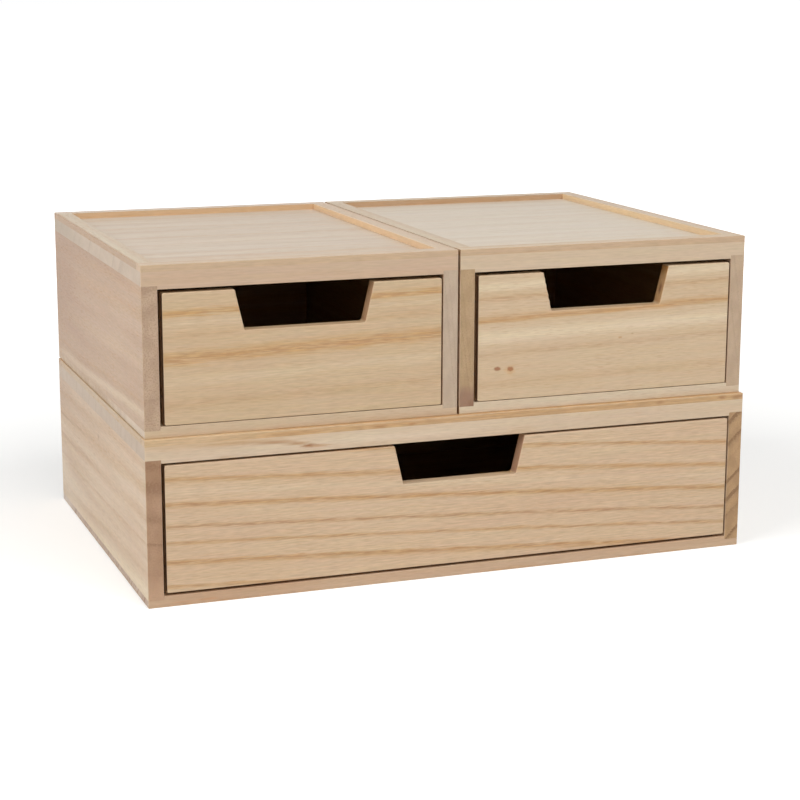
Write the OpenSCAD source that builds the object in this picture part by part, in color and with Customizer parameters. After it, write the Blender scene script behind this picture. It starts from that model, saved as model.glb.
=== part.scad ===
// Desktop mini drawers: a wide unit that carries two half-width units side by side.
// Each unit is a carcass of glued boards with a shallow tray on top, and one drawer that slides in it.
// Millimetres. The origin is the centre of the lower unit's underside: +X right, +Y back, +Z up.
// Modules for boards draw in a unit's own frame, from its front left foot.

/* [Stack] */
// Width of the lower unit
stack_w = 330; // [270:1:420]
// Depth of every unit, front to back
unit_d = 220; // [160:1:300]
// Height of every unit, rim included
unit_h = 85.3; // [74:0.1:120]
// How far each upper unit stands in from the lower unit's side
upper_inset = 0.9; // [0.2:0.1:4]
// Gap between the two upper units
pair_gap = 1.2; // [0.4:0.1:4]
// How far the upper units stand back from the lower unit's front
upper_setback = 3; // [0:0.5:8]

/* [Carcass boards] */
// Thickness of the side boards
side_t = 8; // [6:0.1:12]
// Thickness of the top board
top_t = 8.8; // [6:0.1:12]
// Thickness of the bottom board
bottom_t = 5.6; // [4.5:0.1:10]
// Depth of the rabbets in the top and bottom boards that the side boards stand in
rabbet = 1.8; // [1:0.1:3]
// Thickness of the back board
back_t = 6; // [4:0.1:10]
// Chamfer along the outer edges of a carcass
outer_ease = 0.8; // [0.2:0.1:2]

/* [Rim of the tray] */
// Width of the rim strips
rim_w = 8.8; // [5:0.1:14]
// Height of the rim strips above the top board
rim_h = 3.3; // [2:0.1:8]

/* [Drawer fit] */
// Gap at the left of the lower drawer
lower_left_gap = 1.6; // [0.4:0.1:3]
// Gap at the right of the lower drawer
lower_right_gap = 0.9; // [0.4:0.1:3]
// Gap at the left of an upper drawer
upper_left_gap = 2.1; // [0.4:0.1:3]
// Gap at the right of an upper drawer
upper_right_gap = 0.8; // [0.4:0.1:3]
// Gap above the lower drawer
lower_top_gap = 1.2; // [0.4:0.1:2.5]
// Gap above an upper drawer
upper_top_gap = 1.9; // [0.4:0.1:2.5]
// How far the lower drawer's front ends above the floor that the drawer slides on
lower_front_lift = 1.4; // [0.2:0.1:2.5]
// How far an upper drawer's front ends above the floor that the drawer slides on
upper_front_lift = 0.3; // [0.2:0.1:2.5]
// Gap between a closed drawer and the back board
rear_gap = 1; // [0.4:0.1:6]

/* [Drawer boards] */
// Thickness of the drawer fronts
front_t = 7.2; // [6.5:0.1:12]
// Thickness of the lip that covers the ends of the drawer sides
front_lip = 3; // [2:0.1:4]
// Chamfer along the edges of the drawer fronts
front_ease = 0.5; // [0.2:0.1:1.5]
// Thickness of the drawer sides
drawer_side_t = 6; // [4.5:0.1:9]
// Thickness of the drawer backs
drawer_back_t = 6; // [4.5:0.1:9]
// Thickness of the drawer bottoms
drawer_bottom_t = 3; // [2:0.1:4]
// Depth of the groove that holds a drawer bottom
groove_depth = 2.5; // [1.5:0.1:3]
// Height of the groove above the drawer's underside
groove_up = 4; // [3:0.1:7]
// Play of the drawer bottom in its groove, above it and at each edge
groove_play = 0.2; // [0.1:0.05:0.5]

/* [Finger cutout] */
// Width at the top edge of the drawer front
cutout_top_w = 72; // [50:0.5:80]
// Width along the bottom of the cutout
cutout_bottom_w = 62.5; // [40:0.5:70]
// Depth below the top edge of the drawer front
cutout_depth = 20.3; // [14:0.1:26]
// Radius of the two bottom corners
cutout_r = 1.5; // [0.5:0.1:4]

/* [Brads] */
// Diameter of a brad's shank
brad_d = 1.2; // [0.9:0.1:1.8]
// Length of a brad, head included
brad_l = 18; // [12:0.5:25]
// Diameter of a brad's head
brad_head_d = 2; // [1.9:0.1:2.8]
// Thickness of a brad's head
brad_head_t = 0.6; // [0.4:0.1:1]
// Distance of the brads from the top and the bottom edge of the drawer side
brad_in = 14; // [10:0.5:20]
// Play round a brad in its hole
brad_play = 0.02; // [0.01:0.01:0.05]

/* [Hidden] */
$fn = 48;

// Finishes
pale_wood = "#d8c9ae";
tan_wood = "#cdb08a";
edge_wood = "#b3926f";
brad_steel = "#b9b9b4";

// How far a cutting shape runs past the board that it cuts
over = 1;

// Widths of the two sizes of unit
upper_w = (stack_w - 2 * upper_inset - pair_gap) / 2;

// A unit's own sizes: [width, gaps at the left, at the right and above its drawer, lift of its front]
LOWER = [stack_w, lower_left_gap, lower_right_gap, lower_top_gap, lower_front_lift];
UPPER = [upper_w, upper_left_gap, upper_right_gap, upper_top_gap, upper_front_lift];
function unit_w(unit) = unit[0];
function left_gap(unit) = unit[1];
function right_gap(unit) = unit[2];
function top_gap(unit) = unit[3];
function front_lift(unit) = unit[4];

// Heights inside a carcass
tray_z = unit_h - rim_h;
ceiling_z = tray_z - top_t;
side_foot_z = bottom_t - rabbet;
side_head_z = ceiling_z + rabbet;

// Drawer box: where it starts in the unit's frame, and its sizes
function drawer_x(unit) = side_t + left_gap(unit);
function drawer_w(unit) = unit_w(unit) - side_t - right_gap(unit) - drawer_x(unit);
function drawer_top_z(unit) = ceiling_z - top_gap(unit);
function drawer_h(unit) = drawer_top_z(unit) - bottom_t;
drawer_rear_y = unit_d - back_t - rear_gap;
drawer_back_y = drawer_rear_y - drawer_back_t;
groove_z = bottom_t + groove_up;
groove_h = drawer_bottom_t + groove_play;

// Rows of brads: their y in the drawer front and back, and their heights
brad_ys = [(front_lip + front_t) / 2, drawer_rear_y - drawer_back_t / 2];
function brad_zs(unit) = [bottom_t + brad_in, drawer_top_z(unit) - brad_in];

// Finger cutout: half widths, slope of its ends, and the centres of its corner arcs
cut_bottom = cutout_bottom_w / 2;
cut_run = (cutout_top_w - cutout_bottom_w) / 2;
cut_slope_l = sqrt(cut_run * cut_run + cutout_depth * cutout_depth);
cut_arc_x = cut_bottom - cutout_r * (cut_slope_l - cut_run) / cutout_depth;
cut_tangent_x = cut_arc_x + cutout_r * cutout_depth / cut_slope_l;
cut_tangent_z = cutout_r * (1 - cut_run / cut_slope_l);
// The cutting shape runs on past the top edge of the front along the same slope
cut_head_z = cutout_depth + over;
cut_head_x = cut_bottom + cut_run * cut_head_z / cutout_depth;

// Where each unit's front left foot stands
lower_foot = [-stack_w / 2, -unit_d / 2, 0];
upper_left_foot = lower_foot + [upper_inset, upper_setback, unit_h];
upper_right_foot = upper_left_foot + [upper_w + pair_gap, 0, 0];

module lower() { translate(lower_foot) children(); }
module upper_left() { translate(upper_left_foot) children(); }
module upper_right() { translate(upper_right_foot) children(); }

// A drawer's own frame starts at its left side
module in_drawer(unit) { translate([drawer_x(unit), 0, 0]) children(); }

// ---- Shapes that the boards share ----

// Extrudes a shape drawn in X and Z from y = 0 to y = depth
module along_y(depth) {
    translate([0, depth, 0]) rotate([90, 0, 0]) linear_extrude(depth) children();
}

// A rectangle with its four corners cut off by a chamfer e
module eased_rectangle(a, b, e) {
    polygon([[e, 0], [a - e, 0], [a, e], [a, b - e], [a - e, b], [e, b], [0, b - e], [0, e]]);
}

// A block with a chamfer e along all its edges
module eased_block(w, d, h, e) {
    intersection() {
        linear_extrude(h) eased_rectangle(w, d, e);
        along_y(d) eased_rectangle(w, h, e);
        rotate([90, 0, 90]) linear_extrude(w) eased_rectangle(d, h, e);
    }
}

// A piece of a carcass: its children, cut to the outer shape of the unit
module carcass_piece(w) {
    intersection() {
        eased_block(w, unit_d, unit_h, outer_ease);
        children();
    }
}

// Mirrors its children to the right-hand side of a unit or a drawer of width w
module on_right(w) {
    translate([w, 0, 0]) mirror([1, 0, 0]) children();
}

// Cross-section of a board with a rabbet along both ends of its upper face
module housing_section(w, t) {
    shoulder = t - rabbet;
    polygon([
        [0, 0], [w, 0], [w, shoulder], [w - side_t, shoulder],
        [w - side_t, t], [side_t, t], [side_t, shoulder], [0, shoulder]
    ]);
}

// ---- Carcass boards ----

module bottom_board(unit) {
    w = unit_w(unit);
    carcass_piece(w) along_y(unit_d) housing_section(w, bottom_t);
}

module top_board(unit) {
    w = unit_w(unit);
    carcass_piece(w)
        translate([0, 0, tray_z]) along_y(unit_d) mirror([0, 1]) housing_section(w, top_t);
}

module left_side(unit) {
    carcass_piece(unit_w(unit))
        translate([0, 0, side_foot_z]) cube([side_t, unit_d, side_head_z - side_foot_z]);
}

module back_board(unit) {
    translate([side_t, unit_d - back_t, bottom_t])
        cube([unit_w(unit) - 2 * side_t, back_t, ceiling_z - bottom_t]);
}

module rim_front(unit) {
    w = unit_w(unit);
    carcass_piece(w) translate([0, 0, tray_z]) cube([w, rim_w, rim_h]);
}

module rim_back(unit) {
    w = unit_w(unit);
    carcass_piece(w) translate([0, unit_d - rim_w, tray_z]) cube([w, rim_w, rim_h]);
}

module rim_left(unit) {
    carcass_piece(unit_w(unit))
        translate([0, rim_w, tray_z]) cube([rim_w, unit_d - 2 * rim_w, rim_h]);
}

// ---- Drawer boards, in the drawer's own frame ----

// The finger cutout in X and Z, with z = 0 at its bottom
module cutout_section() {
    polygon([
        [-cut_arc_x, 0], [cut_arc_x, 0], [cut_tangent_x, cut_tangent_z], [cut_head_x, cut_head_z],
        [-cut_head_x, cut_head_z], [-cut_tangent_x, cut_tangent_z]
    ]);
    for (s = [-1, 1]) translate([s * cut_arc_x, cutout_r]) circle(cutout_r);
}

// Holes for the brads through the left side and into the boards behind it
module brad_holes(unit) {
    for (y = brad_ys, z = brad_zs(unit)) translate([0, y, z]) rotate([0, 90, 0]) {
        cylinder(h = brad_l + brad_play, d = brad_d + 2 * brad_play);
        translate([0, 0, -over])
            cylinder(h = over + brad_head_t + brad_play, d = brad_head_d + 2 * brad_play);
    }
}

// Grooves for the drawer bottom, as one slab that reaches into all four boards
module groove_slab(unit) {
    reach = drawer_side_t - groove_depth;
    rear = drawer_back_y + groove_depth;
    translate([reach, front_t - groove_depth, groove_z])
        cube([drawer_w(unit) - 2 * reach, rear - front_t + groove_depth, groove_h]);
}

// The drawer front before it is cut out: a lip over the full width, and a tongue between the sides
module front_blank(unit) {
    w = drawer_w(unit);
    front_h = drawer_h(unit) - front_lift(unit);
    translate([0, 0, bottom_t + front_lift(unit)]) intersection() {
        eased_block(w, unit_d, front_h, front_ease);
        union() {
            cube([w, front_lip, front_h]);
            translate([drawer_side_t, 0, 0]) cube([w - 2 * drawer_side_t, front_t, front_h]);
        }
    }
}

module drawer_front(unit) {
    w = drawer_w(unit);
    difference() {
        front_blank(unit);
        translate([w / 2, -over, drawer_top_z(unit) - cutout_depth])
            along_y(front_t + 2 * over) cutout_section();
        groove_slab(unit);
        brad_holes(unit);
        on_right(w) brad_holes(unit);
    }
}

module drawer_side(unit) {
    difference() {
        translate([0, front_lip, bottom_t])
            cube([drawer_side_t, drawer_rear_y - front_lip, drawer_h(unit)]);
        groove_slab(unit);
        brad_holes(unit);
    }
}

module drawer_back(unit) {
    w = drawer_w(unit);
    difference() {
        translate([drawer_side_t, drawer_back_y, bottom_t])
            cube([w - 2 * drawer_side_t, drawer_back_t, drawer_h(unit)]);
        groove_slab(unit);
        brad_holes(unit);
        on_right(w) brad_holes(unit);
    }
}

module drawer_bottom(unit) {
    x = drawer_side_t - groove_depth + groove_play;
    y = front_t - groove_depth + groove_play;
    rear = drawer_back_y + groove_depth - groove_play;
    translate([x, y, groove_z]) cube([drawer_w(unit) - 2 * x, rear - y, drawer_bottom_t]);
}

// The brads of the left side, driven in with their heads flush
module left_brads(unit) {
    for (y = brad_ys, z = brad_zs(unit)) translate([0, y, z]) rotate([0, 90, 0]) {
        cylinder(h = brad_l, d = brad_d);
        cylinder(h = brad_head_t, d = brad_head_d);
    }
}

module drawer_brads(unit) {
    left_brads(unit);
    on_right(drawer_w(unit)) left_brads(unit);
}

// ---- Lower unit ----

module lower_bottom_board() { color(tan_wood) lower() bottom_board(LOWER); }
module lower_top_board() { color(pale_wood) lower() top_board(LOWER); }
module lower_left_side() { color(edge_wood) lower() left_side(LOWER); }
module lower_right_side() { color(edge_wood) lower() on_right(stack_w) left_side(LOWER); }
module lower_back_board() { color(tan_wood) lower() back_board(LOWER); }
module lower_rim_front() { color(tan_wood) lower() rim_front(LOWER); }
module lower_rim_back() { color(tan_wood) lower() rim_back(LOWER); }
module lower_rim_left() { color(tan_wood) lower() rim_left(LOWER); }
module lower_rim_right() { color(tan_wood) lower() on_right(stack_w) rim_left(LOWER); }
module lower_drawer_front() { color(tan_wood) lower() in_drawer(LOWER) drawer_front(LOWER); }
module lower_drawer_left_side() { color(pale_wood) lower() in_drawer(LOWER) drawer_side(LOWER); }
module lower_drawer_right_side() {
    color(pale_wood) lower() in_drawer(LOWER) on_right(drawer_w(LOWER)) drawer_side(LOWER);
}
module lower_drawer_back() { color(pale_wood) lower() in_drawer(LOWER) drawer_back(LOWER); }
module lower_drawer_bottom() { color(pale_wood) lower() in_drawer(LOWER) drawer_bottom(LOWER); }
module lower_drawer_brads() { color(brad_steel) lower() in_drawer(LOWER) drawer_brads(LOWER); }

// ---- Upper left unit ----

module upper_left_bottom_board() { color(tan_wood) upper_left() bottom_board(UPPER); }
module upper_left_top_board() { color(pale_wood) upper_left() top_board(UPPER); }
module upper_left_left_side() { color(edge_wood) upper_left() left_side(UPPER); }
module upper_left_right_side() { color(edge_wood) upper_left() on_right(upper_w) left_side(UPPER); }
module upper_left_back_board() { color(tan_wood) upper_left() back_board(UPPER); }
module upper_left_rim_front() { color(tan_wood) upper_left() rim_front(UPPER); }
module upper_left_rim_back() { color(tan_wood) upper_left() rim_back(UPPER); }
module upper_left_rim_left() { color(tan_wood) upper_left() rim_left(UPPER); }
module upper_left_rim_right() { color(tan_wood) upper_left() on_right(upper_w) rim_left(UPPER); }
module upper_left_drawer_front() { color(tan_wood) upper_left() in_drawer(UPPER) drawer_front(UPPER); }
module upper_left_drawer_left_side() { color(pale_wood) upper_left() in_drawer(UPPER) drawer_side(UPPER); }
module upper_left_drawer_right_side() {
    color(pale_wood) upper_left() in_drawer(UPPER) on_right(drawer_w(UPPER)) drawer_side(UPPER);
}
module upper_left_drawer_back() { color(pale_wood) upper_left() in_drawer(UPPER) drawer_back(UPPER); }
module upper_left_drawer_bottom() { color(pale_wood) upper_left() in_drawer(UPPER) drawer_bottom(UPPER); }
module upper_left_drawer_brads() { color(brad_steel) upper_left() in_drawer(UPPER) drawer_brads(UPPER); }

// ---- Upper right unit ----

module upper_right_bottom_board() { color(tan_wood) upper_right() bottom_board(UPPER); }
module upper_right_top_board() { color(pale_wood) upper_right() top_board(UPPER); }
module upper_right_left_side() { color(edge_wood) upper_right() left_side(UPPER); }
module upper_right_right_side() { color(edge_wood) upper_right() on_right(upper_w) left_side(UPPER); }
module upper_right_back_board() { color(tan_wood) upper_right() back_board(UPPER); }
module upper_right_rim_front() { color(tan_wood) upper_right() rim_front(UPPER); }
module upper_right_rim_back() { color(tan_wood) upper_right() rim_back(UPPER); }
module upper_right_rim_left() { color(tan_wood) upper_right() rim_left(UPPER); }
module upper_right_rim_right() { color(tan_wood) upper_right() on_right(upper_w) rim_left(UPPER); }
module upper_right_drawer_front() { color(tan_wood) upper_right() in_drawer(UPPER) drawer_front(UPPER); }
module upper_right_drawer_left_side() { color(pale_wood) upper_right() in_drawer(UPPER) drawer_side(UPPER); }
module upper_right_drawer_right_side() {
    color(pale_wood) upper_right() in_drawer(UPPER) on_right(drawer_w(UPPER)) drawer_side(UPPER);
}
module upper_right_drawer_back() { color(pale_wood) upper_right() in_drawer(UPPER) drawer_back(UPPER); }
module upper_right_drawer_bottom() { color(pale_wood) upper_right() in_drawer(UPPER) drawer_bottom(UPPER); }
module upper_right_drawer_brads() { color(brad_steel) upper_right() in_drawer(UPPER) drawer_brads(UPPER); }

lower_bottom_board();
lower_top_board();
lower_left_side();
lower_right_side();
lower_back_board();
lower_rim_front();
lower_rim_back();
lower_rim_left();
lower_rim_right();
lower_drawer_front();
lower_drawer_left_side();
lower_drawer_right_side();
lower_drawer_back();
lower_drawer_bottom();
lower_drawer_brads();
upper_left_bottom_board();
upper_left_top_board();
upper_left_left_side();
upper_left_right_side();
upper_left_back_board();
upper_left_rim_front();
upper_left_rim_back();
upper_left_rim_left();
upper_left_rim_right();
upper_left_drawer_front();
upper_left_drawer_left_side();
upper_left_drawer_right_side();
upper_left_drawer_back();
upper_left_drawer_bottom();
upper_left_drawer_brads();
upper_right_bottom_board();
upper_right_top_board();
upper_right_left_side();
upper_right_right_side();
upper_right_back_board();
upper_right_rim_front();
upper_right_rim_back();
upper_right_rim_left();
upper_right_rim_right();
upper_right_drawer_front();
upper_right_drawer_left_side();
upper_right_drawer_right_side();
upper_right_drawer_back();
upper_right_drawer_bottom();
upper_right_drawer_brads();
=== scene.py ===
"""Desktop mini drawers: the finished look of a stack of three small wooden drawer units.

A wide unit carries two half-width ones. Each unit is a carcass of glued boards, a tray with a low rim
on top of it, and one drawer with a finger cutout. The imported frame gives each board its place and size.
Sizes in the dataclasses are millimetres, and meshes are in metres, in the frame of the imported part.
"""
import logging
import math
import random
from collections.abc import Callable
from dataclasses import dataclass, field, replace
from enum import Enum

import bmesh
import bpy
from bmesh.types import BMEdge, BMVert
from bpy.types import Material, Node, NodeSocket, Object, World
from mathutils import Matrix, Vector


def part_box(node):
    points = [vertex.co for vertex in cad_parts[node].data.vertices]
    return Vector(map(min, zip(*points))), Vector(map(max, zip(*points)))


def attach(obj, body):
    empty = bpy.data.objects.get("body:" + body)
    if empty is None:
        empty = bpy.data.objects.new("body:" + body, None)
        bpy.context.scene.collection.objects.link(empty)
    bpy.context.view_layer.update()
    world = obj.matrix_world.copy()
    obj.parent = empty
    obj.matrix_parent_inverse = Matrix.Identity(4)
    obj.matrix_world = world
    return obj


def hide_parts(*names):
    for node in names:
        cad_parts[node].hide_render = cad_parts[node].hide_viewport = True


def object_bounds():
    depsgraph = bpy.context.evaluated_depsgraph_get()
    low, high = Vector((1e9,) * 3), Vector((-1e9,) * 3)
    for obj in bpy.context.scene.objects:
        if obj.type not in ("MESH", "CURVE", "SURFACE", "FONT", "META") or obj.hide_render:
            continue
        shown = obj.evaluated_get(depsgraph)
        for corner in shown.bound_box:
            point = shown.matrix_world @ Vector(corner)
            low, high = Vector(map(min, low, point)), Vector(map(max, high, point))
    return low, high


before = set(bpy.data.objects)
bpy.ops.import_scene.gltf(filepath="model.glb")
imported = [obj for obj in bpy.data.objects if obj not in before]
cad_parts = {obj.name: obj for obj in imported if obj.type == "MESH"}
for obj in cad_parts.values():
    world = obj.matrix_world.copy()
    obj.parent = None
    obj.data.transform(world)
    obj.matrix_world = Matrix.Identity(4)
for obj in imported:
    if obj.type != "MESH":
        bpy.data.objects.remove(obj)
CAD_LOW, CAD_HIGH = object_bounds()

LOG = logging.getLogger("mini_drawers")
MM = 0.001
TOUCH = 1e-5
EASED = "eased"

Feed = NodeSocket | float | tuple[float, ...]
EdgeTest = Callable[[BMEdge], bool]
Easing = tuple[EdgeTest, float, int]
Colour = tuple[float, float, float, float]


# ---- Colours and grain ----


def tone(code: str) -> Colour:
    """Turns a colour such as "c9ab88" into the linear values that a shader takes.

    Args:
        code: six hexadecimal digits, as a display shows the colour.

    Returns:
        Linear red, green and blue, and an alpha of 1.
    """
    shown = [int(code[i : i + 2], 16) / 255 for i in (0, 2, 4)]
    red, green, blue = (c / 12.92 if c <= 0.04045 else ((c + 0.055) / 1.055) ** 2.4 for c in shown)
    return red, green, blue, 1.0


WHITE = tone("ffffff")


class Grain(Enum):
    """How a board lies: the axes that run along its grain, across its wide face, and through it."""

    WIDE_UPRIGHT = (0, 2, 1)
    WIDE_FLAT = (0, 1, 2)
    DEEP_UPRIGHT = (1, 2, 0)
    DEEP_FLAT = (1, 0, 2)


@dataclass(frozen=True)
class Ring:
    """One growth ring that shows as a band on a board's face.

    Attributes:
        at: its height across the board, from the board's low corner.
        gold: strength of its golden band.
        dark: strength of the thin brown line in the band.
        plum: strength of a purple-brown tint.
        pale: strength of a cream band in the same place.
        under: how far the band reaches below its middle.
        over: how far the band reaches above it.
    """

    at: float
    gold: float = 0.6
    dark: float = 0.3
    plum: float = 0.0
    pale: float = 0.0
    under: float = 2.4
    over: float = 1.2


@dataclass(frozen=True)
class Mark:
    """A knot, a stain or a streak, or painted shade or a painted highlight: an ellipsoid of another colour
    inside a board.

    Attributes:
        centre: its place along, across and through the board, from the board's low corner.
        radii: its half sizes in the same three directions.
        colour: its colour.
        strength: how much of the colour shows in the middle.
        soft: share of the radius over which it fades out.
    """

    centre: tuple[float, float, float]
    radii: tuple[float, float, float]
    colour: str
    strength: float = 0.8
    soft: float = 0.5


@dataclass(frozen=True)
class WoodFinish:
    """How the wood of one board looks. The values are for light, open-grained paulownia.

    Attributes:
        body: main colour of the long grain.
        shade: colour of the broad darker bands.
        gold: colour of the golden bands beside the growth lines.
        line: colour of the thin growth lines.
        plum: colour of the purple-brown growth lines.
        pale: colour of the cream bands.
        pore: colour of the fine open pores.
        end: main colour of the end grain.
        end_line: colour of the growth rings and pores in the end grain.
        rings: growth rings listed one by one, or none for rings at a regular spacing.
        spacing: mean distance between regular rings.
        dark: strength of the regular rings' dark lines.
        golden: strength of the regular rings' golden bands.
        slope: how much lower the rings lie for each millimetre along the board.
        tilt: how much lower they lie for each millimetre through it.
        climb: how much of the board's own height counts, 1 when the rings cross it squarely.
        bow: how much lower the rings lie at the board's ends than in its middle.
        waver: how far the rings wander.
        fray: how far the bands fray out along the fibres.
        banding: strength of the broad darker bands.
        tint: strength of the soft changes of hue, in red, green and blue.
        fibre: strength of the fine light and dark fibres.
        pores: strength of the pores.
        speckle: strength of the end grain's speckle.
        end_rings: strength of the rings in the end grain.
        marks: knots and stains, and some painted shade and painted highlight.
        end_marks: marks that show only in the end grain, among them painted shade on a drawer front's left
            end.
    """

    body: str = "d2b28e"
    shade: str = "c5a07c"
    gold: str = "c59a66"
    line: str = "ac7f52"
    plum: str = "b08868"
    pale: str = "e2cfb0"
    pore: str = "b58c64"
    end: str = "b8946f"
    end_line: str = "93694a"
    rings: tuple[Ring, ...] = ()
    spacing: float = 9.0
    dark: float = 0.3
    golden: float = 0.4
    slope: float = 0.0
    tilt: float = 0.3
    climb: float = 1.0
    bow: float = 0.0
    waver: float = 2.5
    fray: float = 2.4
    banding: float = 0.5
    tint: tuple[float, float, float] = (0.05, 0.07, 0.13)
    fibre: float = 0.24
    pores: float = 0.4
    speckle: float = 0.5
    end_rings: float = 1.2
    marks: tuple[Mark, ...] = ()
    end_marks: tuple[Mark, ...] = ()


@dataclass(frozen=True)
class Figure:
    """The pattern of a board's wood, as shader values from 0 to 1.

    Attributes:
        line: strength of the thin brown growth lines.
        gold: strength of the golden bands.
        plum: strength of the purple-brown tint.
        pale: strength of the cream bands.
        pores: strength of the open pores.
        fibre: noise of the fibres.
    """

    line: NodeSocket
    gold: NodeSocket
    plum: NodeSocket
    pale: NodeSocket
    pores: NodeSocket
    fibre: NodeSocket


# ---- Shader nodes ----


class NodeBench:
    """Lays out and wires the nodes of one material, or of the world."""

    def __init__(self, owner: Material | World) -> None:
        """Starts with no nodes.

        Args:
            owner: the material or the world that the nodes make up.
        """
        owner.use_nodes = True
        self.owner = owner
        self.tree = owner.node_tree
        self.tree.nodes.clear()

    def node(self, kind: str, *values: Feed, **settings: object) -> Node:
        """Adds a node.

        Args:
            kind: the node's type, without its ShaderNode prefix.
            values: what its first inputs get, in order.
            settings: properties to set on it.

        Returns:
            The new node.
        """
        made = self.tree.nodes.new("ShaderNode" + kind)
        for key, value in settings.items():
            setattr(made, key, value)
        for socket, value in zip(made.inputs, values):
            self.feed(socket, value)
        return made

    def feed(self, socket: NodeSocket, value: Feed) -> None:
        """Links a socket to another node's output, or sets it to a constant.

        Args:
            socket: the input to fill.
            value: an output socket, a number, or a tuple of numbers.
        """
        if isinstance(value, NodeSocket):
            self.tree.links.new(value, socket)
        else:
            socket.default_value = value

    def math(self, operation: str, *values: Feed) -> NodeSocket:
        """Works out a number."""
        return self.node("Math", *values, operation=operation).outputs[0]

    def scaled(self, value: Feed, factor: float, added: Feed) -> NodeSocket:
        """Multiplies a number by a factor and adds another one."""
        return self.math("MULTIPLY_ADD", value, factor, added)

    def total(self, *terms: tuple[Feed, float]) -> NodeSocket:
        """Adds up several inputs, each times its own factor.

        Args:
            terms: pairs of an input and its factor.

        Returns:
            The sum.
        """
        added: Feed = 0.0
        for value, factor in terms:
            added = self.scaled(value, factor, added)
        return added

    def vector(self, operation: str, *values: Feed) -> NodeSocket:
        """Works out a vector."""
        return self.node("VectorMath", *values, operation=operation).outputs[0]

    def length(self, vector: NodeSocket) -> NodeSocket:
        """Measures a vector."""
        return self.node("VectorMath", vector, operation="LENGTH").outputs["Value"]

    def noise(
        self, place: NodeSocket, grain: tuple[float, float, float], detail: float = 2.0, hue: bool = False,
    ) -> NodeSocket:
        """Makes soft noise whose grain has a real size.

        Args:
            place: millimetres along, across and through the board.
            grain: the noise's grain size in these directions.
            detail: how many finer layers it has.
            hue: True for a colour with its own noise in red, green and blue.

        Returns:
            Noise of about 0.2 to 0.8.
        """
        made = self.node("TexNoise")
        self.feed(made.inputs["Vector"], self.vector("DIVIDE", place, grain))
        self.feed(made.inputs["Scale"], 1.0)
        self.feed(made.inputs["Detail"], detail)
        return made.outputs[1 if hue else 0]

    def rise(self, value: Feed, low: float, high: float, top: float = 1.0) -> NodeSocket:
        """A smooth step: 0 before low, and top after high."""
        return self.node("MapRange", value, low, high, 0.0, top, interpolation_type="SMOOTHSTEP").outputs[0]

    def mix(self, share: Feed, first: Feed, second: Feed, blend: str = "MIX") -> NodeSocket:
        """Mixes two colours.

        Args:
            share: how much of the second one shows.
            first: the colour underneath.
            second: the colour on top.
            blend: the blend type.

        Returns:
            The mixed colour.
        """
        made = self.node("Mix", share, data_type="RGBA", blend_type=blend, clamp_result=True)
        colours = [socket for socket in made.inputs if socket.type == "RGBA"]
        self.feed(colours[0], first)
        self.feed(colours[1], second)
        return next(socket for socket in made.outputs if socket.type == "RGBA")

    def ramp(self, value: NodeSocket, stops: list[tuple[float, Colour]]) -> list[NodeSocket]:
        """Looks up four numbers in a colour ramp.

        Args:
            value: where to look, from 0 to 1.
            stops: positions and the four numbers there, in rising order.

        Returns:
            The four numbers, smoothly joined between the stops.
        """
        made = self.node("ValToRGB", value)
        made.color_ramp.interpolation = "EASE"
        marks = made.color_ramp.elements
        marks.remove(marks[1])
        for number, (position, numbers) in enumerate(stops):
            mark = marks[0] if number == 0 else marks.new(position)
            mark.position = position
            mark.color = numbers
        parts = self.node("SeparateColor", made.outputs["Color"])
        return [*parts.outputs, made.outputs["Alpha"]]

    def choice(self, share: NodeSocket, first: Node, second: Node) -> Node:
        """Mixes two shaders."""
        return self.node("MixShader", share, first.outputs[0], second.outputs[0])

    def seen(self) -> NodeSocket:
        """Tells rays that show a surface from rays that light one.

        Returns:
            1 for camera, glossy and transmission rays, and 0 for the others.
        """
        path = self.node("LightPath").outputs
        direct = self.math("MAXIMUM", path["Is Camera Ray"], path["Is Glossy Ray"])
        return self.math("MAXIMUM", direct, path["Is Transmission Ray"])

    def close(self, shader: Node) -> Material | World:
        """Ends the nodes in a surface shader.

        Args:
            shader: the shader node.

        Returns:
            The finished material or world.
        """
        output = self.node("OutputWorld" if isinstance(self.owner, World) else "OutputMaterial")
        self.feed(output.inputs["Surface"], shader.outputs[0])
        return self.owner


class Fineness(Enum):
    """Grain sizes of the noises in wood, in millimetres along, across and through a board."""

    PORES = (6.0, 0.5, 0.5)
    SHORT_FIBRES = (7.0, 0.8, 0.8)
    DASHES = (9.0, 0.7, 0.7)
    CELLS = (9.0, 0.8, 0.8)
    FRINGE = (15.0, 0.7, 0.7)
    RIPPLES = (19.0, 26.0, 26.0)
    STREAKS = (22.0, 1.2, 1.2)
    LONG_FIBRES = (28.0, 0.7, 0.7)
    HUES = (40.0, 3.0, 3.0)
    CROWDS = (60.0, 6.0, 6.0)
    CLOUDS = (60.0, 9.0, 5.0)
    WANDER = (85.0, 50.0, 50.0)
    BANDS = (150.0, 9.0, 9.0)


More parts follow.
